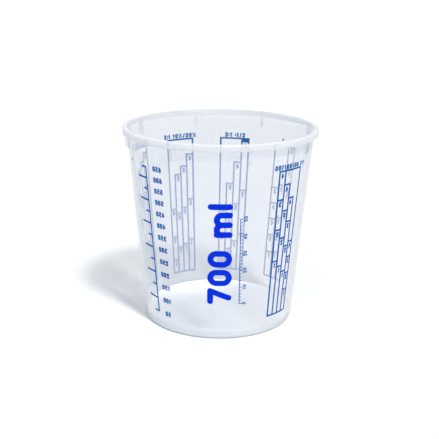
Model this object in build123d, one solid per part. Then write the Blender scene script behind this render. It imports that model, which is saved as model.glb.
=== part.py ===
from build123d import *
import os
from functools import cache
from math import atan, cos, degrees, pi, radians, sin

# Resin mixing cup: one thin moulding, open at the top, with blue print on the outside of its wall.
# Sizes are in millimetres. The origin is under the middle of the foot, and +Z is up.
# Bearings are in degrees round the axis: 0 at the front, which is -Y, and growing towards +X.
# The graduations are printed mirrored, because they are read from inside, over the rim.

# Cup wall and floor
CUP_HEIGHT = 113.5
WALL_RADIUS_FOOT = 43.25
WALL_RADIUS_TOP = 53.65
WALL = 0.95
FLOOR = 1.2
FLOOR_LIFT = 1.0
FOOT_CORNER = 2.6
INNER_CORNER = 1.8
FOOT_RING_WIDTH = 2.4
FOOT_RING_ROUND = 0.4

# Rim: a flange turned down into a skirt, stiffened by ribs that also space stacked cups
RIM_OVERHANG = 2.2
RIM_DEPTH = 3.9
FLANGE = 1.1
SKIRT = 0.9
CROWN_INNER_SHARE = 0.57
CROWN_OUTER_SHARE = 0.35
SKIRT_ROUND_SHARE = 0.35
RIB_COUNT = 8
RIB_FIRST_BEARING = 16.9
RIB_WIDTH = 1.0
RIB_DROP = 7.4
RIB_CHAMFER = 1.8
RIB_INTO = 0.2

# Ink
INK = 0.06
INK_SEAT = 0.02
LINE = 0.98
PRINT_LEAN = 1.0

# Millilitre scale: levels are shares of the brimful volume
STEP_FILL_SHARE = 0.0629
STEP_COUNT = 13
STEP_LABEL = 50
ML_LINE = 1.0
ML_BEARING = 310.3
ML_NUMERAL_BEARING = 320.2
LONG_TICK = 8.4
SHORT_TICK = 3.7

# Numerals and headings
NUMERAL_HEIGHT = 3.1
NUMERAL_WIDTH = 1.87
NUMERAL_STROKE = 0.8
NUMERAL_GAP = 0.32
HEADING_HEIGHT = 2.9
HEADING_WIDTH = 1.85
HEADING_STROKE = 0.8
HEADING_GAP = 0.4
HEADING_RISE = 0.7
LABEL_DROP = 1.0

# Mixing ratio scales, round the cup. Bearings and widths are in degrees.
SCALE_BEARINGS = {
    "scale_four_to_one": 250.1,
    "scale_two_to_one": 210.3,
    "scale_three_to_one": 170.65,
    "scale_twenty_to_one": 130.15,
    "scale_one_to_one": 48.35,
}
SCALE_WIDTHS = {
    "scale_four_to_one": 19.4,
    "scale_two_to_one": 19.3,
    "scale_three_to_one": 19.9,
    "scale_twenty_to_one": 18.9,
    "scale_one_to_one": 19.3,
}
SCALE_HEADINGS = {
    "scale_four_to_one": "4:1 25%/35%",
    "scale_two_to_one": "2:1 10%/20%",
    "scale_three_to_one": "3:1 :1/2",
    "scale_twenty_to_one": "",
    "scale_one_to_one": "1:1 60/80/100",
}
SCALE_TOP_SHARES = {
    "scale_four_to_one": 0.81,
    "scale_two_to_one": 0.81,
    "scale_three_to_one": 0.81,
    "scale_twenty_to_one": 0.80,
    "scale_one_to_one": 0.8172,
}

# Fill of each numbered batch in a scale's first column, and what each column multiplies it by
BATCH_SHARES = {
    "scale_four_to_one": (0.199, 0.4, 0.54),
    "scale_two_to_one": (0.1228, 0.2455, 0.3953),
    "scale_three_to_one": (0.1228, 0.2455, 0.3953),
    "scale_twenty_to_one": (0.182, 0.271, 0.3595, 0.448, 0.537),
    "scale_one_to_one": (0.1634, 0.2451, 0.3269, 0.4086),
}
COLUMN_SHARES = {
    "scale_four_to_one": (1, 1.25, 1.33, 1.42),
    "scale_two_to_one": (1, 1.5, 1.62, 1.8),
    "scale_three_to_one": (1, 1.333, 1.667, 2),
    "scale_twenty_to_one": (1, 1.047, 1.489),
    "scale_one_to_one": (1, 1.6, 1.8, 2),
}

# Capacity mark on the front, read upwards
CAPACITY_TEXT = "700 ml"
CAPACITY_BEARING = 0.95
CAPACITY_BOTTOM = 22.0
CAPACITY_HEIGHT = 13.4
CAPACITY_WIDTH = 9.7
CAPACITY_STROKE = 3.3
CAPACITY_GAP = 1.4

# Height rule beside it
RULE_OFFSET = 10.9
RULE_BOTTOM = 22.0
RULE_STEP = 2.0
RULE_STEPS_PER_NUMERAL = 5
RULE_NUMERALS = 6
RULE_LINE = 0.42
RULE_TICK = 1.0
RULE_LONG_TICK = 1.6
RULE_NUMERAL_HEIGHT = 2.1
RULE_NUMERAL_WIDTH = 1.4
RULE_NUMERAL_STROKE = 0.48

# Small round dots under the rim, at heights that are shares of the cup's
DOT_RADIUS = 0.75
DOT_BEARINGS = (291.7, 133.4)
DOT_HEIGHT_SHARES = (0.857, 0.865)

# Worked out from the sizes above
slope = (WALL_RADIUS_TOP - WALL_RADIUS_FOOT) / CUP_HEIGHT
draft = atan(slope)
wall_across = WALL / cos(draft)
floor_top = FLOOR_LIFT + FLOOR
rim_radius = WALL_RADIUS_TOP + RIM_OVERHANG
rim_inner = WALL_RADIUS_TOP - wall_across
rim_width = rim_radius - rim_inner
skirt_inner = rim_radius - SKIRT
skirt_bottom = CUP_HEIGHT - RIM_DEPTH
flange_under = CUP_HEIGHT - FLANGE


def wall_radius(z):
    """Outer radius of the wall at a height."""
    return WALL_RADIUS_FOOT + slope * z


def inner_radius(z):
    """Inner radius of the wall at a height."""
    return wall_radius(z) - wall_across


def level(fill_share):
    """Height of the surface when this share of the brimful volume is in the cup."""
    empty = inner_radius(floor_top) ** 3
    full = inner_radius(CUP_HEIGHT) ** 3
    return ((empty + fill_share * (full - empty)) ** (1 / 3) - inner_radius(0)) / slope


def brimful():
    """Volume up to the rim, in cubic millimetres."""
    return pi / (3 * slope) * (inner_radius(CUP_HEIGHT) ** 3 - inner_radius(floor_top) ** 3)


def leaning(bearing, z):
    """The whole print sits a little askew round the cup."""
    return bearing - PRINT_LEAN * z / CUP_HEIGHT


def flat_face(points):
    """A flat face inside straight edges from point to point."""
    return make_face(Polyline(*points, close=True))


def cup_body():
    """Wall, floor, foot ring and rim turned as one profile, then the ribs under the rim."""
    ring_inner = WALL_RADIUS_FOOT - FOOT_CORNER - FOOT_RING_WIDTH
    corners = {
        "floor_under": (0, FLOOR_LIFT),
        "ring_root": (ring_inner, FLOOR_LIFT),
        "ring_edge": (ring_inner, 0),
        "foot": (WALL_RADIUS_FOOT, 0),
        "flange_root": (wall_radius(flange_under), flange_under),
        "skirt_root": (skirt_inner, flange_under),
        "skirt_inside": (skirt_inner, skirt_bottom),
        "skirt_outside": (rim_radius, skirt_bottom),
        "crown_outside": (rim_radius, CUP_HEIGHT),
        "crown_inside": (rim_inner, CUP_HEIGHT),
        "floor_corner": (inner_radius(floor_top), floor_top),
        "floor_middle": (0, floor_top),
    }
    rounds = {
        "ring_root": FOOT_RING_ROUND,
        "ring_edge": FOOT_RING_ROUND,
        "foot": FOOT_CORNER,
        "skirt_inside": SKIRT * SKIRT_ROUND_SHARE,
        "skirt_outside": SKIRT * SKIRT_ROUND_SHARE,
        "crown_outside": rim_width * CROWN_OUTER_SHARE,
        "crown_inside": rim_width * CROWN_INNER_SHARE,
        "floor_corner": INNER_CORNER,
    }
    face = flat_face(corners.values())
    for name, radius in rounds.items():
        spot = Vector(*corners[name])
        corner = face.vertices().sort_by_distance(spot)[0]
        face = fillet(corner, radius)
    cup = revolve(Plane.XZ * face, Axis.Z)
    for index in range(RIB_COUNT):
        cup += rib(RIB_FIRST_BEARING + index * 360 / RIB_COUNT)
    return cup


def rib(bearing):
    """A web from the wall to the skirt, going on down the wall with a slanted end."""
    bottom = skirt_bottom - RIB_DROP
    outer = skirt_inner + RIB_INTO
    top = flange_under + RIB_INTO
    outline = [
        (wall_radius(bottom) - RIB_INTO, bottom),
        (wall_radius(bottom), bottom),
        (outer, bottom + RIB_CHAMFER),
        (outer, top),
        (wall_radius(top) - RIB_INTO, top),
    ]
    web = extrude(Plane.XZ * flat_face(outline), RIB_WIDTH / 2, both=True)
    return Rot(0, 0, bearing - 90) * web


# Numerals are drawn as round-ended strokes. Each stroke is a line of two points or an arc of
# three, as shares of the glyph's width and height.
GLYPH_SHARES = {
    "0": [
        ((0, 0.3), (0, 0.7)),
        ((0, 0.7), (0.5, 1), (1, 0.7)),
        ((1, 0.7), (1, 0.3)),
        ((1, 0.3), (0.5, 0), (0, 0.3)),
    ],
    "1": [((0.15, 0.78), (0.6, 1)), ((0.6, 1), (0.6, 0))],
    "2": [((0, 0.74), (0.52, 1), (0.98, 0.66)), ((0.98, 0.66), (0, 0)), ((0, 0), (1, 0))],
    "3": [((0, 0.88), (0.95, 0.76), (0.4, 0.53)), ((0.4, 0.53), (1, 0.26), (0, 0.12))],
    "4": [((0.75, 0), (0.75, 1)), ((0.75, 1), (0, 0.3)), ((0, 0.3), (1, 0.3))],
    "5": [((0.95, 1), (0.12, 1)), ((0.12, 1), (0.05, 0.56)), ((0.05, 0.56), (1, 0.33), (0, 0.08))],
    "6": [
        ((0, 0.3), (0.5, 0.6), (1, 0.3)),
        ((1, 0.3), (0.5, 0), (0, 0.3)),
        ((0, 0.3), (0.2, 0.8), (0.85, 1)),
    ],
    "7": [((0, 1), (1, 1)), ((1, 1), (0.35, 0))],
    "8": [
        ((0.08, 0.76), (0.5, 1), (0.92, 0.76)),
        ((0.92, 0.76), (0.5, 0.53), (0.08, 0.76)),
        ((0, 0.27), (0.5, 0.53), (1, 0.27)),
        ((1, 0.27), (0.5, 0), (0, 0.27)),
    ],
    "9": [
        ((1, 0.7), (0.5, 0.4), (0, 0.7)),
        ((0, 0.7), (0.5, 1), (1, 0.7)),
        ((1, 0.7), (0.8, 0.2), (0.15, 0)),
    ],
    ".": [((0.5, 0), (0.5, 0.05))],
    ":": [((0.5, 0.2), (0.5, 0.25)), ((0.5, 0.72), (0.5, 0.77))],
    "/": [((0.1, 0), (0.9, 1))],
    "%": [((0.2, 0), (0.8, 1)), ((0, 0.85), (0, 0.95)), ((1, 0.05), (1, 0.15))],
    "m": [
        ((0, 0), (0, 0.68)),
        ((0, 0.44), (0.25, 0.68), (0.5, 0.44)),
        ((0.5, 0.44), (0.5, 0)),
        ((0.5, 0.44), (0.75, 0.68), (1, 0.44)),
        ((1, 0.44), (1, 0)),
    ],
    "l": [((0.5, 0), (0.5, 1))],
    " ": [],
}
WIDTH_SHARES = {"1": 0.8, ".": 0.3, ":": 0.3, "/": 0.8, "%": 1.4, "m": 1.5, "l": 0.33, " ": 0.5}


def glyph_width(char, width):
    """Width of one glyph in a set whose plain digits have this width."""
    return width * WIDTH_SHARES.get(char, 1.0)


@cache
def glyph(char, height, width, stroke, mirrored):
    """One glyph as a flat face round the origin, or None for a space."""
    across = glyph_width(char, width)
    run = max(across - stroke, stroke)
    climb = height - stroke
    side = -1 if mirrored else 1
    strokes = []
    for points in GLYPH_SHARES[char]:
        spots = [(side * (x - 0.5) * run, (y - 0.5) * climb) for x, y in points]
        path = Line(*spots) if len(spots) == 2 else ThreePointArc(*spots)
        strokes.append(SlotArc(path, stroke))
    return Sketch() + strokes if strokes else None


def text_places(text, width, gap):
    """Middle of each glyph along the line, counted from the middle of the text."""
    places = []
    start = 0
    for char in text:
        across = glyph_width(char, width)
        places.append((char, start + across / 2))
        start += across + gap
    middle = (start - gap) / 2
    return [(char, place - middle) for char, place in places]


def on_wall(bearing, z):
    """Plane on the wall's outside: x runs round the cup, y up the wall and z outwards."""
    angle = radians(bearing)
    out = Vector(sin(angle) * cos(draft), -cos(angle) * cos(draft), -sin(draft))
    radius = wall_radius(z)
    foot = Vector(radius * sin(angle), -radius * cos(angle), z)
    return Plane(foot + out * INK_SEAT, x_dir=(cos(angle), sin(angle), 0), z_dir=out)


def wall_text(text, bearing, z, height, width, stroke, gap):
    """A mirrored word round the cup, each glyph small enough to lie flat on the wall."""
    plates = []
    for char, place in text_places(text, width, gap):
        face = glyph(char, height, width, stroke, True)
        if face is not None:
            turn = degrees(place / wall_radius(z))
            plates.append(extrude(on_wall(leaning(bearing, z) - turn, z) * face, INK))
    return plates


def numeral(text, bearing, z):
    """A small number of the graduations."""
    return wall_text(text, bearing, z, NUMERAL_HEIGHT, NUMERAL_WIDTH, NUMERAL_STROKE, NUMERAL_GAP)


def facing(bearing):
    """Upright plane through the axis that faces a bearing, x to the right and y up."""
    angle = radians(bearing)
    return Plane((0, 0, 0), x_dir=(cos(angle), sin(angle), 0), z_dir=(sin(angle), -cos(angle), 0))


def ink_skin():
    """The thin conical layer that ink on the wall lies in."""
    clear = INK_SEAT / cos(draft)
    deep = INK / cos(draft)
    outline = [
        (wall_radius(0) + clear, 0),
        (wall_radius(0) + clear + deep, 0),
        (wall_radius(skirt_bottom) + clear + deep, skirt_bottom),
        (wall_radius(skirt_bottom) + clear, skirt_bottom),
    ]
    return revolve(Plane.XZ * flat_face(outline), Axis.Z)


def wrap(artwork, bearing):
    """Flat artwork, drawn on the plane that faces a bearing, laid on the wall as ink."""
    plane = facing(bearing)
    return extrude(plane * artwork, rim_radius) & ink_skin()


def across_at(bearing, z, middle):
    """Sideways place of a bearing at a height, on the plane that faces the middle bearing."""
    return wall_radius(z) * sin(radians(leaning(bearing, z) - middle))


def ruled_grid(bearings, bottom, top, marks, closed):
    """Ruled columns as one flat face: a frame less the window under each mark, and less the
    stepped space over the highest marks, which has no line above it when it isn't closed."""
    middle = (bearings[0] + bearings[-1]) / 2

    def spot(bearing, z, right, up):
        """A place by a line's middle, so many half lines to the right, seen from inside, and up."""
        return (across_at(bearing, z, middle) - right * LINE / 2, z + up * LINE / 2)

    first, last = bearings[0], bearings[-1]
    frame = [spot(first, bottom, -1, -1), spot(last, bottom, 1, -1)]
    frame += [spot(last, top, 1, 1), spot(first, top, -1, 1)]
    openings = []
    stairs = []
    for column, heights in enumerate(marks):
        left, right = bearings[column], bearings[column + 1]
        for low, high in zip([bottom] + heights, heights):
            window = [spot(left, low, 1, 1), spot(right, low, -1, 1)]
            window += [spot(right, high, -1, -1), spot(left, high, 1, -1)]
            openings.append(window)
        if heights[-1] < top - 2 * LINE:
            stairs.append(spot(left, heights[-1], -1 if column else 1, 1))
            stairs.append(spot(right, heights[-1], -1, 1))
            edge = right
    stairs.append(spot(edge, top, -1, -1 if closed else 2))
    stairs.append(spot(first, top, 1, -1 if closed else 2))
    openings.append(stairs)
    return flat_face(frame) - [flat_face(opening) for opening in openings]


def ratio_scale(name):
    """One mixing ratio scale: its ruled lines, the batch number under each mark, and its heading."""
    middle, width = SCALE_BEARINGS[name], SCALE_WIDTHS[name]
    heading = SCALE_HEADINGS[name]
    bottom = level(STEP_FILL_SHARE)
    top = level(SCALE_TOP_SHARES[name])
    marks = [[level(batch * column) for batch in BATCH_SHARES[name]] for column in COLUMN_SHARES[name]]
    columns = len(marks)
    bearings = [middle + width / 2 - index * width / columns for index in range(columns + 1)]
    grid = ruled_grid(bearings, bottom, top, marks, bool(heading))
    labels = []
    for column, heights in enumerate(marks):
        centre = (bearings[column] + bearings[column + 1]) / 2
        for batch, height in enumerate(heights):
            z = height - LABEL_DROP - NUMERAL_HEIGHT / 2
            labels += numeral(str(batch + 1), centre, z)
    pieces = {name + "_lines": wrap(grid, middle), name + "_labels": labels}
    if heading:
        z = top + HEADING_RISE + HEADING_HEIGHT / 2
        sizes = (HEADING_HEIGHT, HEADING_WIDTH, HEADING_STROKE, HEADING_GAP)
        pieces[name + "_heading"] = wall_text(heading, middle, z, *sizes)
    return pieces


def tick_mark(bearing, z, length):
    """A tick that runs back round the cup from a bearing, drawn on the plane that faces it."""
    start = across_at(bearing, z, ML_BEARING)
    end = across_at(bearing - degrees(length / wall_radius(z)), z, ML_BEARING)
    return Pos((start + end) / 2, z) * Rectangle(start - end, LINE)


def ml_scale():
    """The millilitre scale: an upright line with long and short ticks, and its numerals."""
    heights = [level(STEP_FILL_SHARE * (step + 1)) for step in range(STEP_COUNT)]
    low, high = heights[0] - LINE / 2, heights[-1] + LINE / 2
    outline = []
    for z, side in ((low, -1), (low, 1), (high, 1), (high, -1)):
        outline.append((across_at(ML_BEARING, z, ML_BEARING) + side * ML_LINE / 2, z))
    lines = flat_face(outline)
    numerals = []
    for step, z in enumerate(heights):
        lines += tick_mark(ML_BEARING, z, LONG_TICK if step % 2 else SHORT_TICK)
        numerals += numeral(f"{(step + 1) * STEP_LABEL:g}", ML_NUMERAL_BEARING, z)
    return {"ml_scale_lines": wrap(lines, ML_BEARING), "ml_scale_numerals": numerals}


def capacity_mark():
    """The cup's nominal content in large figures, standing on their side and read upwards."""
    places = text_places(CAPACITY_TEXT, CAPACITY_WIDTH, CAPACITY_GAP)
    length = 2 * places[-1][1] + glyph_width(CAPACITY_TEXT[-1], CAPACITY_WIDTH)
    middle = CAPACITY_BOTTOM + length / 2
    letters = Sketch()
    for char, place in places:
        face = glyph(char, CAPACITY_HEIGHT, CAPACITY_WIDTH, CAPACITY_STROKE, False)
        if face is not None:
            letters += Pos(0, middle + place) * Rot(0, 0, 90) * face
    return {"capacity_mark": wrap(letters, leaning(CAPACITY_BEARING, middle))}


def height_rule():
    """A plain rule up the wall beside the capacity mark, numbered in millimetres from its foot."""
    steps = RULE_STEPS_PER_NUMERAL * (RULE_NUMERALS - 1)
    height = steps * RULE_STEP
    middle = leaning(CAPACITY_BEARING, RULE_BOTTOM + height / 2)
    ticks = [Pos(RULE_OFFSET, RULE_BOTTOM + height / 2) * Rectangle(RULE_LINE, height + RULE_LINE)]
    numerals = []
    for step in range(steps + 1):
        z = RULE_BOTTOM + step * RULE_STEP
        numbered = step % RULE_STEPS_PER_NUMERAL == 0
        tick = RULE_LONG_TICK if numbered else RULE_TICK
        ticks.append(Pos(RULE_OFFSET + tick / 2, z) * Rectangle(tick, RULE_LINE))
        if numbered:
            text = f"{step * RULE_STEP:g}"
            offset = RULE_OFFSET + RULE_LONG_TICK + NUMERAL_GAP + RULE_NUMERAL_HEIGHT / 2
            bearing = middle + degrees(offset / wall_radius(z))
            for char, place in text_places(text, RULE_NUMERAL_WIDTH, NUMERAL_GAP):
                face = glyph(char, RULE_NUMERAL_HEIGHT, RULE_NUMERAL_WIDTH, RULE_NUMERAL_STROKE, False)
                numerals.append(extrude(on_wall(bearing, z + place) * Rot(0, 0, 90) * face, INK))
    return {"height_rule_lines": wrap(Sketch() + ticks, middle), "height_rule_numerals": numerals}


def print_dots():
    """Small dots near the top of the wall."""
    dots = []
    for bearing, height_share in zip(DOT_BEARINGS, DOT_HEIGHT_SHARES):
        z = height_share * CUP_HEIGHT
        dots.append(extrude(on_wall(leaning(bearing, z), z) * Circle(DOT_RADIUS), INK))
    return {"print_dots": dots}


def main():
    """Build every piece and write one file for each."""
    os.makedirs("parts", exist_ok=True)
    pieces = {"cup_body": cup_body()}
    pieces |= ml_scale()
    for name in SCALE_BEARINGS:
        pieces |= ratio_scale(name)
    pieces |= capacity_mark()
    pieces |= height_rule()
    pieces |= print_dots()
    for name, shape in pieces.items():
        if isinstance(shape, list):
            shape = Compound(children=[solid for plate in shape for solid in plate.solids()])
        export_step(shape, "parts/" + name + ".step")
    print("brimful millilitres", round(brimful() / 1000, 1))
    print("levels", [round(level(STEP_FILL_SHARE * step), 1) for step in range(1, STEP_COUNT + 1)])


main()
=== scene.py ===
from math import atan, cos, pi, radians, sin, tan

import bmesh
import bpy
from mathutils import Matrix, Vector


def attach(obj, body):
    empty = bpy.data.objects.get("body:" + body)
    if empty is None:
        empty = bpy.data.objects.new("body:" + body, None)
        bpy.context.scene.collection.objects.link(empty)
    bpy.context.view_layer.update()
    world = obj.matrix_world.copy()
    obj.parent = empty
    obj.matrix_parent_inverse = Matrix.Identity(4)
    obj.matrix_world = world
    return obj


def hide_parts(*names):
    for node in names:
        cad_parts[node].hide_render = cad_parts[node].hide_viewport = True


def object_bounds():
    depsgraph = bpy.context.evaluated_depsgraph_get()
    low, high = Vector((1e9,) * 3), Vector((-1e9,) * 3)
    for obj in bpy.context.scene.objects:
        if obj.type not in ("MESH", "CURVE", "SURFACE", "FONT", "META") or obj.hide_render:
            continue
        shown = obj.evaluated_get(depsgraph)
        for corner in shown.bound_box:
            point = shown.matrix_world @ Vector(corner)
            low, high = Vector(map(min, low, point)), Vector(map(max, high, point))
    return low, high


# Resin mixing cup: one thin translucent moulding with dark blue print on the outside of its wall.
# Lengths are in metres and share the CAD frame: origin under the middle of the foot, +Z up, -Y front.
# Angles are in degrees, and a bearing turns from the front, -Y, towards +X.

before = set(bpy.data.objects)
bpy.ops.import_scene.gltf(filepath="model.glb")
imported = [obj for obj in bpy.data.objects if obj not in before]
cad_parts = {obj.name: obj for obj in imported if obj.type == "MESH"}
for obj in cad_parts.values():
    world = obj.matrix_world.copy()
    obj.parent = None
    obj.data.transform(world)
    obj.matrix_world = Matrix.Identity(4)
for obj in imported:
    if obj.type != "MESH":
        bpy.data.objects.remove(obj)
cad_low, cad_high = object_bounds()
MM = 0.001

# Cup profile, the same sizes as the solid that the turned mesh stands for
CUP_HEIGHT = cad_high[2]
RIM_RADIUS = cad_high[0]
WALL_RADIUS_FOOT = 43.25 * MM
WALL_RADIUS_TOP = 53.65 * MM
WALL = 0.95 * MM
FLOOR = 1.2 * MM
FLOOR_LIFT = 1.0 * MM
FOOT_CORNER = 2.6 * MM
INNER_CORNER = 1.8 * MM
FOOT_RING_WIDTH = 2.4 * MM
FOOT_RING_ROUND = 0.4 * MM
RIM_DEPTH = 3.9 * MM
FLANGE = 1.1 * MM
SKIRT = 0.9 * MM
CROWN_INNER_SHARE = 0.57
CROWN_OUTER_SHARE = 0.35
SKIRT_ROUND_SHARE = 0.35
FLANGE_ROOT_ROUND = 0.35 * MM
RIB_COUNT = 8
RIB_FIRST_BEARING = 16.9
RIB_WIDTH = 1.0 * MM
RIB_DROP = 7.4 * MM
RIB_CHAMFER = 1.8 * MM
RIB_INTO = 0.2 * MM

# Turned mesh: how fine it is, and how far its wall's rows keep from the rounded corners
TURNS = 288
ARC_STEPS = 7
WALL_ROWS = 28
OUTSIDE_ROW_MARGIN = 2 * FOOT_CORNER
INSIDE_ROW_MARGIN = 1.5 * INNER_CORNER

# What counts as on the axis, as on a cut, and as a sharp edge
AXIS_TOLERANCE = 1e-9
CUT_TOLERANCE = 0.002 * MM
SHARP_ANGLE = 35.0

# Regions of the moulding: how far over the skirt's lower edge the gap's look starts, how far off the
# wall a rib's side starts, and how far outward, from 0 to 1, a rib's side faces at most and the
# foot's corner at least
GAP_RISE = 0.6 * MM
RIB_FACE_CLEAR = WALL / 8
RIB_SIDE_FACING = 0.5
FOOT_FACING = 0.02

# Camera, from the photograph's perspective
CAMERA_DISTANCE = 498.6 * MM
CAMERA_HEIGHT = 206.6 * MM
CAMERA_PITCH = 16.68
CAMERA_ROLL = 0.70
CAMERA_NEAR = 10 * MM
CAMERA_FAR = 50.0
FOCAL_PIXELS = 883.7
FRAME_PIXELS = 439
SENSOR_MM = 36.0

# Stage and light
FLOOR_SIZE = 12.0
KEY_BEARING = 27.8
KEY_ELEVATION = 55.7
KEY_ANGLE = 7.5
KEY_STRENGTH = 2.4
KEY_COLOUR = (1.0, 0.985, 0.96)
AMBIENT = 0.565
AMBIENT_COLOUR = (0.87, 0.94, 1.0)
FILL_BEARING = -35.0
FILL_SHARE = 0.8
PAPER = 0.86
PAPER_LIFT = 0.05
WHITE = (1.0, 1.0, 1.0)

# Plastic: the tint of what goes straight through (clear), the share that is scattered (haze) and its
# tint (milk), and the share of that which comes back (return)
INSIDE_CLEAR = (0.995, 0.995, 0.995)
# Rib sides: a grey tint on what leaves the moulding through them, painted shade that matches the wall
# shaded by the skirt beside them
RIB_PAINTED_SHADE = (0.74, 0.77, 0.82)
WALL_CLEAR = (0.885, 0.90, 0.945)
WALL_HAZE = 0.29
WALL_MILK = (0.98, 0.985, 1.0)
WALL_RETURN = 0.97
FLOOR_HAZE = 0.93
FLOOR_MILK = (0.98, 0.985, 0.99)
FLOOR_RETURN = 0.95
FOOT_HAZE = 0.97
# The foot's milk is darkened as painted shade, for the shade at the foot's corner next to the floor
FOOT_PAINTED_SHADE_MILK = (0.64, 0.665, 0.71)
RIM_HAZE = 0.70
RIM_MILK = (0.91, 0.92, 0.945)
RIM_RETURN = 0.62

# Variation over the plastic: clouds in it, more haze where it is seen at a slant, and a faint peel
NOISE_RANGE = (0.3, 0.7)
CLOUD_SCALE = 28
CLOUD_DETAIL = 3
CLOUD_HAZE = 0.03
SLANT_BLEND = 0.5
SLANT_POWER = 2
SLANT_HAZE = 0.45
PLASTIC_ROUGHNESS = (0.30, 0.42)
PLASTIC_IOR = 1.49
PEEL_SCALE = 260
PEEL_DETAIL = 2
PEEL_STRENGTH = 0.04
PEEL_DEPTH = 0.2 * MM

# Ink: each pair is the darkest and the lightest tone of its mottle
NEAR_INK = ((0.000, 0.085, 0.33), (0.000, 0.115, 0.42))
# The far half's ink is a lighter copy of the near ink: painted light, for the print seen from inside
# through the lit wall
FAR_INK_PAINTED_LIGHT = ((0.000, 0.150, 0.44), (0.000, 0.190, 0.54))
BROAD_INK = ((0.000, 0.022, 0.54), (0.000, 0.030, 0.66))
MOTTLE_SCALE = 900
MOTTLE_DETAIL = 3
INK_ROUGHNESS = (0.42, 0.60)
INK_SPECULAR = 0.05

slope = (WALL_RADIUS_TOP - WALL_RADIUS_FOOT) / CUP_HEIGHT
wall_across = WALL / cos(atan(slope))
floor_top = FLOOR_LIFT + FLOOR
rim_inner = WALL_RADIUS_TOP - wall_across
rim_width = RIM_RADIUS - rim_inner
skirt_inner = RIM_RADIUS - SKIRT
skirt_bottom = CUP_HEIGHT - RIM_DEPTH
gap_bottom = skirt_bottom + GAP_RISE
flange_under = CUP_HEIGHT - FLANGE


def wall_radius(z):
    """Outer radius of the wall at a height."""
    return WALL_RADIUS_FOOT + slope * z


def row_heights(low, high):
    """Heights of the wall's rows, evenly spaced between two ends that are no rows themselves."""
    return [low + (high - low) * row / WALL_ROWS for row in range(1, WALL_ROWS)]


def rounded(corners):
    """Points along straight runs between corners, each corner turned into an arc of its radius."""
    points = []
    for index, (r, z, radius) in enumerate(corners):
        here = Vector((r, z))
        if not radius:
            points.append(here)
            continue
        before = (Vector(corners[index - 1][:2]) - here).normalized()
        after = (Vector(corners[index + 1][:2]) - here).normalized()
        half = before.angle(after) / 2
        middle = here + (before + after).normalized() * radius / sin(half)
        start = here + before * radius / tan(half) - middle
        turn = start.angle_signed(here + after * radius / tan(half) - middle)
        for step in range(ARC_STEPS + 1):
            spot = start.copy()
            spot.rotate(Matrix.Rotation(-turn * step / ARC_STEPS, 2))
            points.append(middle + spot)
    return points


def cup_profile():
    """Half section of the moulding, from the middle of the underside round to the middle inside."""
    ring_inner = WALL_RADIUS_FOOT - FOOT_CORNER - FOOT_RING_WIDTH
    inner_foot = wall_radius(floor_top) - wall_across
    corners = [
        (0, FLOOR_LIFT, 0),
        (ring_inner, FLOOR_LIFT, FOOT_RING_ROUND),
        (ring_inner, 0, FOOT_RING_ROUND),
        (WALL_RADIUS_FOOT, 0, FOOT_CORNER),
        (wall_radius(floor_top + INNER_CORNER), floor_top + INNER_CORNER, 0),
    ]
    for z in row_heights(OUTSIDE_ROW_MARGIN, flange_under - OUTSIDE_ROW_MARGIN):
        corners.append((wall_radius(z), z, 0))
    corners += [
        (wall_radius(flange_under), flange_under, FLANGE_ROOT_ROUND),
        (skirt_inner, flange_under, FLANGE_ROOT_ROUND),
        (skirt_inner, skirt_bottom, SKIRT * SKIRT_ROUND_SHARE),
        (RIM_RADIUS, skirt_bottom, SKIRT * SKIRT_ROUND_SHARE),
        (RIM_RADIUS, CUP_HEIGHT, rim_width * CROWN_OUTER_SHARE),
        (rim_inner, CUP_HEIGHT, rim_width * CROWN_INNER_SHARE),
    ]
    inside = row_heights(floor_top + INSIDE_ROW_MARGIN, skirt_bottom - INSIDE_ROW_MARGIN)
    for z in reversed(inside):
        corners.append((wall_radius(z) - wall_across, z, 0))
    corners += [(inner_foot, floor_top, INNER_CORNER), (0, floor_top, 0)]
    return rounded(corners)


def new_object(name, data):
    """A new object in the scene's collection."""
    piece = bpy.data.objects.new(name, data)
    bpy.context.scene.collection.objects.link(piece)
    return piece


def object_of(bm, name):
    """A new object of a closed bmesh, which is used up, with its faces turned outward."""
    bmesh.ops.recalc_face_normals(bm, faces=bm.faces)
    mesh = bpy.data.meshes.new(name)
    bm.to_mesh(mesh)
    bm.free()
    return new_object(name, mesh)


def lathe(name, profile):
    """A closed mesh turned from a half section whose two ends lie on the axis."""
    bm = bmesh.new()
    rings = []
    for point in profile:
        if point.x < AXIS_TOLERANCE:
            rings.append([bm.verts.new((0, 0, point.y))] * TURNS)
            continue
        ring = []
        for turn in range(TURNS):
            angle = 2 * pi * turn / TURNS
            ring.append(bm.verts.new((point.x * cos(angle), point.x * sin(angle), point.y)))
        rings.append(ring)
    for low, high in zip(rings, rings[1:]):
        for turn in range(TURNS):
            after = (turn + 1) % TURNS
            corners = [low[turn], low[after], high[after], high[turn]]
            bm.faces.new(list(dict.fromkeys(corners)))
    return object_of(bm, name)


def rib_blank(bearing):
    """One web from the wall to the skirt, going on down the wall with a slanted end."""
    bottom = skirt_bottom - RIB_DROP
    outer = skirt_inner + RIB_INTO
    top = flange_under + RIB_INTO
    outline = [
        (wall_radius(bottom) - RIB_INTO, bottom),
        (wall_radius(bottom), bottom),
        (outer, bottom + RIB_CHAMFER),
        (outer, top),
        (wall_radius(top) - RIB_INTO, top),
    ]
    bm = bmesh.new()
    sides = []
    for side in (-1, 1):
        sides.append([bm.verts.new((side * RIB_WIDTH / 2, -r, z)) for r, z in outline])
    bm.faces.new(sides[0])
    bm.faces.new(sides[1][::-1])
    for index in range(len(outline)):
        after = (index + 1) % len(outline)
        bm.faces.new([sides[0][index], sides[1][index], sides[1][after], sides[0][after]])
    turn = Matrix.Rotation(radians(bearing), 3, "Z")
    bmesh.ops.rotate(bm, verts=bm.verts, cent=(0, 0, 0), matrix=turn)
    return object_of(bm, "rib_blank")


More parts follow.
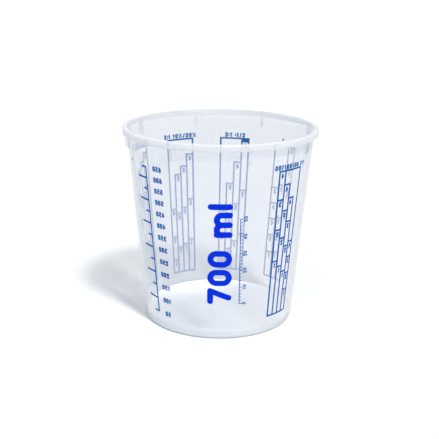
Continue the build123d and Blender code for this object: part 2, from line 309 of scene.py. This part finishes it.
def apply_modifiers(piece):
    """The piece's mesh as its modifiers leave it."""
    graph = bpy.context.evaluated_depsgraph_get()
    made = bpy.data.meshes.new_from_object(piece.evaluated_get(graph))
    piece.modifiers.clear()
    old = piece.data
    piece.data = made
    bpy.data.meshes.remove(old)


def split_faces_at(piece, z):
    """Edges round the mesh at a height, so that no face lies across it."""
    bm = bmesh.new()
    bm.from_mesh(piece.data)
    whole = bm.verts[:] + bm.edges[:] + bm.faces[:]
    bmesh.ops.bisect_plane(bm, geom=whole, dist=CUT_TOLERANCE, plane_co=(0, 0, z), plane_no=(0, 0, 1))
    bm.to_mesh(piece.data)
    bm.free()


def cup_moulding():
    """The turned cup with its ribs joined on."""
    cup = lathe("cup_moulding", cup_profile())
    blanks = [rib_blank(RIB_FIRST_BEARING + index * 360 / RIB_COUNT) for index in range(RIB_COUNT)]
    for blank in blanks:
        union = cup.modifiers.new("rib", "BOOLEAN")
        union.operation = "UNION"
        union.solver = "MANIFOLD"
        union.object = blank
    apply_modifiers(cup)
    for blank in blanks:
        bpy.data.meshes.remove(blank.data)
    split_faces_at(cup, gap_bottom)
    cup.data.polygons.foreach_set("use_smooth", [True] * len(cup.data.polygons))
    cup.data.set_sharp_from_angle(angle=radians(SHARP_ANGLE))
    return cup


def new_material(name):
    """An empty node material and its tree."""
    material = bpy.data.materials.new(name)
    material.use_nodes = True
    material.node_tree.nodes.clear()
    return material, material.node_tree


def feed(tree, value, socket):
    """An input socket linked to another node's output, or set to a plain value."""
    if isinstance(value, bpy.types.NodeSocket):
        tree.links.new(value, socket)
    else:
        socket.default_value = value


def add(tree, kind, **values):
    """A shader node with its input sockets fed and its properties set."""
    node = tree.nodes.new("ShaderNode" + kind)
    for key, value in values.items():
        if key in node.inputs:
            feed(tree, value, node.inputs[key])
        else:
            setattr(node, key, value)
    return node


def calculate(tree, operation, *values, use_clamp=False):
    """The result of a sum on sockets and numbers."""
    node = add(tree, "Math", operation=operation, use_clamp=use_clamp)
    for value, socket in zip(values, node.inputs):
        feed(tree, value, socket)
    return node.outputs[0]


def map_range(tree, source, low, high, source_range=(0, 1)):
    """A socket's values moved from their own range to the one between two numbers."""
    node = add(tree, "MapRange", Value=source)
    for name, value in zip(("From Min", "From Max", "To Min", "To Max"), (*source_range, low, high)):
        node.inputs[name].default_value = value
    return node.outputs["Result"]


def mix(tree, share, first, second):
    """Two shaders mixed, with the share of the second one a socket or a number."""
    node = add(tree, "MixShader")
    for value, socket in zip((share, first, second), node.inputs):
        feed(tree, value, socket)
    return node.outputs[0]


def noise(tree, scale, detail):
    """Cloudy values that are fixed to the object."""
    place = add(tree, "TexCoord").outputs["Object"]
    return add(tree, "TexNoise", Vector=place, Scale=scale, Detail=detail).outputs["Fac"]


def front_facing(tree):
    """1 on the outward side of a surface, 0 on its inward side."""
    return calculate(tree, "SUBTRACT", 1.0, add(tree, "NewGeometry").outputs["Backfacing"])


def haze_share(tree, cloud, haze):
    """The share of light that is scattered: cloudy, and more where the way through is longer."""
    level = map_range(tree, cloud, haze - CLOUD_HAZE, haze + CLOUD_HAZE, NOISE_RANGE)
    slant = add(tree, "LayerWeight", Blend=SLANT_BLEND).outputs["Facing"]
    squared = calculate(tree, "POWER", slant, SLANT_POWER)
    return calculate(tree, "MULTIPLY_ADD", squared, SLANT_HAZE, level, use_clamp=True)


def milk(tree, tint, back_share):
    """Scattered light, of which a share comes back and the rest goes on through."""
    onward = add(tree, "BsdfTranslucent", Color=(*tint, 1)).outputs[0]
    back = add(tree, "BsdfDiffuse", Color=(*tint, 1)).outputs[0]
    return mix(tree, back_share, onward, back)


def shine_over(tree, body, cloud, front):
    """A soft shine with a faint peel, on the outward side of what lies under it."""
    peel = noise(tree, PEEL_SCALE, PEEL_DETAIL)
    bump = add(tree, "Bump", Strength=PEEL_STRENGTH, Distance=PEEL_DEPTH, Height=peel)
    roughness = map_range(tree, cloud, *PLASTIC_ROUGHNESS)
    shine = add(tree, "BsdfGlossy", Roughness=roughness, Normal=bump.outputs["Normal"])
    fresnel = add(tree, "Fresnel", IOR=PLASTIC_IOR).outputs[0]
    return mix(tree, calculate(tree, "MULTIPLY", fresnel, front), body, shine.outputs[0])


def plastic_material(region, clear, haze=0, back_share=0, tint=WHITE, both_sides=False):
    """Natural polypropylene: part goes straight through and part is scattered, under a soft shine.
    What comes back does so off the outward side alone, or off both sides."""
    material, tree = new_material("polypropylene_" + region)
    cloud = noise(tree, CLOUD_SCALE, CLOUD_DETAIL)
    front = front_facing(tree)
    body = add(tree, "BsdfTransparent", Color=(*clear, 1)).outputs[0]
    if haze:
        returned = back_share if both_sides else calculate(tree, "MULTIPLY", front, back_share)
        body = mix(tree, haze_share(tree, cloud, haze), body, milk(tree, tint, returned))
    add(tree, "OutputMaterial", Surface=shine_over(tree, body, cloud, front))
    return material


def one_way_material(region, clear):
    """Polypropylene without haze or shine, that tints only what leaves the moulding through it."""
    material, tree = new_material("polypropylene_" + region)
    leaving = add(tree, "BsdfTransparent", Color=(*clear, 1)).outputs[0]
    entering = add(tree, "BsdfTransparent", Color=(*WHITE, 1)).outputs[0]
    add(tree, "OutputMaterial", Surface=mix(tree, front_facing(tree), leaving, entering))
    return material


def ink_material(name, tones):
    """Blue screen ink: even, faintly mottled between two tones, with a low shine."""
    material, tree = new_material(name)
    mottle = noise(tree, MOTTLE_SCALE, MOTTLE_DETAIL)
    colour = add(tree, "ValToRGB", Fac=mottle)
    for stop, position, tone in zip(colour.color_ramp.elements, NOISE_RANGE, tones):
        stop.position = position
        stop.color = (*tone, 1)
    ink = add(tree, "BsdfPrincipled", Roughness=map_range(tree, mottle, *INK_ROUGHNESS))
    ink.inputs["Specular IOR Level"].default_value = INK_SPECULAR
    tree.links.new(colour.outputs["Color"], ink.inputs["Base Color"])
    add(tree, "OutputMaterial", Surface=ink.outputs[0])
    return material


def seen_ray(tree):
    """1 for rays that look at the stage, from the camera, off a shine or through glass, else 0.
    Light that milky plastic scatters on is no such ray."""
    path = add(tree, "LightPath")
    through, scattered = path.outputs["Is Transmission Ray"], path.outputs["Is Diffuse Ray"]
    glass = calculate(tree, "SUBTRACT", through, scattered)
    direct = calculate(tree, "MAXIMUM", path.outputs["Is Camera Ray"], path.outputs["Is Glossy Ray"])
    return calculate(tree, "MAXIMUM", direct, glass)


def floor_material():
    """White sweep: a plain diffuse floor, lifted to full white where it is looked at."""
    material, tree = new_material("white_sweep")
    paper = add(tree, "BsdfDiffuse", Color=(PAPER, PAPER, PAPER, 1)).outputs[0]
    lift = add(tree, "Emission", Strength=PAPER_LIFT).outputs[0]
    lifted = add(tree, "AddShader")
    tree.links.new(paper, lifted.inputs[0])
    tree.links.new(lift, lifted.inputs[1])
    add(tree, "OutputMaterial", Surface=mix(tree, seen_ray(tree), paper, lifted.outputs[0]))
    return material


def build_floor():
    """One wide sheet at the height of the foot."""
    half = FLOOR_SIZE / 2
    mesh = bpy.data.meshes.new("floor")
    corners = [(-half, -half, 0), (half, -half, 0), (half, half, 0), (-half, half, 0)]
    mesh.from_pydata(corners, [], [(0, 1, 2, 3)])
    floor = new_object("floor", mesh)
    floor.data.materials.append(floor_material())


def build_world():
    """Pale blue light from all round, stronger from the fill's side, behind a white backdrop."""
    world = bpy.data.worlds.new("studio")
    bpy.context.scene.world = world
    world.use_nodes = True
    tree = world.node_tree
    tree.nodes.clear()
    bearing = radians(FILL_BEARING)
    side = add(tree, "VectorMath", operation="DOT_PRODUCT")
    tree.links.new(add(tree, "TexCoord").outputs["Generated"], side.inputs[0])
    side.inputs[1].default_value = (sin(bearing), -cos(bearing), 0)
    strength = calculate(tree, "MULTIPLY_ADD", side.outputs["Value"], AMBIENT * FILL_SHARE, AMBIENT)
    ambient = add(tree, "Background", Color=(*AMBIENT_COLOUR, 1), Strength=strength).outputs[0]
    white = add(tree, "Background", Color=(*WHITE, 1), Strength=1.0).outputs[0]
    add(tree, "OutputWorld", Surface=mix(tree, seen_ray(tree), ambient, white))


def build_key():
    """A warm sun with soft edges to its shadows."""
    data = bpy.data.lights.new("key", "SUN")
    data.angle = radians(KEY_ANGLE)
    data.energy = KEY_STRENGTH
    data.color = KEY_COLOUR
    key = new_object("key", data)
    bearing, elevation = radians(KEY_BEARING), radians(KEY_ELEVATION)
    away = Vector((sin(bearing) * cos(elevation), -cos(bearing) * cos(elevation), sin(elevation)))
    key.location = away
    key.rotation_euler = away.to_track_quat("Z", "Y").to_euler()


def build_camera():
    """The photograph's camera, in front of the cup and above it."""
    lens = bpy.data.cameras.new("camera")
    lens.sensor_width = SENSOR_MM
    lens.lens = SENSOR_MM * FOCAL_PIXELS / FRAME_PIXELS
    lens.clip_start = CAMERA_NEAR
    lens.clip_end = CAMERA_FAR
    camera = new_object("camera", lens)
    pitch = Matrix.Rotation(pi / 2 - radians(CAMERA_PITCH), 4, "X")
    turn = pitch @ Matrix.Rotation(radians(CAMERA_ROLL), 4, "Z")
    camera.matrix_world = Matrix.Translation((0, -CAMERA_DISTANCE, CAMERA_HEIGHT)) @ turn
    bpy.context.scene.camera = camera
    bpy.context.scene.view_settings.view_transform = "Standard"


def region_of(face):
    """The part of the moulding that a face belongs to, by its place and the way it faces."""
    x, y, z = face.center
    radius = (x * x + y * y) ** 0.5
    outward = (x * face.normal.x + y * face.normal.y) / max(radius, wall_across)
    if z < floor_top + INNER_CORNER:
        corner = radius > WALL_RADIUS_FOOT - FOOT_CORNER and outward > FOOT_FACING
        return "foot" if corner else "floor"
    off_wall = wall_radius(z) + RIB_FACE_CLEAR < radius < skirt_inner
    if off_wall and z < gap_bottom and outward < RIB_SIDE_FACING:
        return "rib"
    if radius <= wall_radius(z) - wall_across / 2:
        return "inside"
    if gap_bottom < z < flange_under + FLANGE / 2 and radius < skirt_inner + SKIRT / 2:
        return "gap"
    return "rim" if radius > skirt_inner else "outside"


def dress_cup(cup):
    """The plastic's looks: nearly clear inside the wall and in the gap under the rim, hazy on the
    outside of the wall, milky on the floor and the rim, milky but darkened by painted shade on the
    foot, and grey on the ribs' sides, which is painted shade."""
    looks = {
        "inside": plastic_material("inside", INSIDE_CLEAR),
        "outside": plastic_material("outside", WALL_CLEAR, WALL_HAZE, WALL_RETURN, WALL_MILK),
        "floor": plastic_material("floor", WALL_CLEAR, FLOOR_HAZE, FLOOR_RETURN, FLOOR_MILK),
        # The foot's darker milk is painted shade
        "foot": plastic_material("foot", WALL_CLEAR, FOOT_HAZE, FLOOR_RETURN, FOOT_PAINTED_SHADE_MILK),
        # The ribs' grey tint is painted shade
        "rib": one_way_material("rib", RIB_PAINTED_SHADE),
        "gap": one_way_material("gap", INSIDE_CLEAR),
        "rim": plastic_material("rim", WALL_CLEAR, RIM_HAZE, RIM_RETURN, RIM_MILK, both_sides=True),
    }
    cup.data.materials.clear()
    for look in looks.values():
        cup.data.materials.append(look)
    regions = list(looks)
    for face in cup.data.polygons:
        face.material_index = regions.index(region_of(face))
    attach(cup, "root")
    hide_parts("cup_body")


def dress_print():
    """Ink on every printed node: one tone on the near half, a lighter copy of it on the far half,
    which is painted light for the print seen from inside through the wall, and a purer blue on the
    broad capacity mark."""
    near = ink_material("screen_ink_navy", NEAR_INK)
    broad = ink_material("screen_ink_blue", BROAD_INK)
    # Lighter far ink: painted light
    far = ink_material("screen_ink_far_painted_light", FAR_INK_PAINTED_LIGHT)
    for name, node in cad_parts.items():
        if name == "cup_body":
            continue
        on_far_half = sum(corner[1] for corner in node.bound_box) > 0
        ink = far if on_far_half else near
        if name == "capacity_mark":
            ink = broad
        node.data.materials.clear()
        node.data.materials.append(ink)


build_floor()
build_world()
build_key()
build_camera()
dress_cup(cup_moulding())
dress_print()
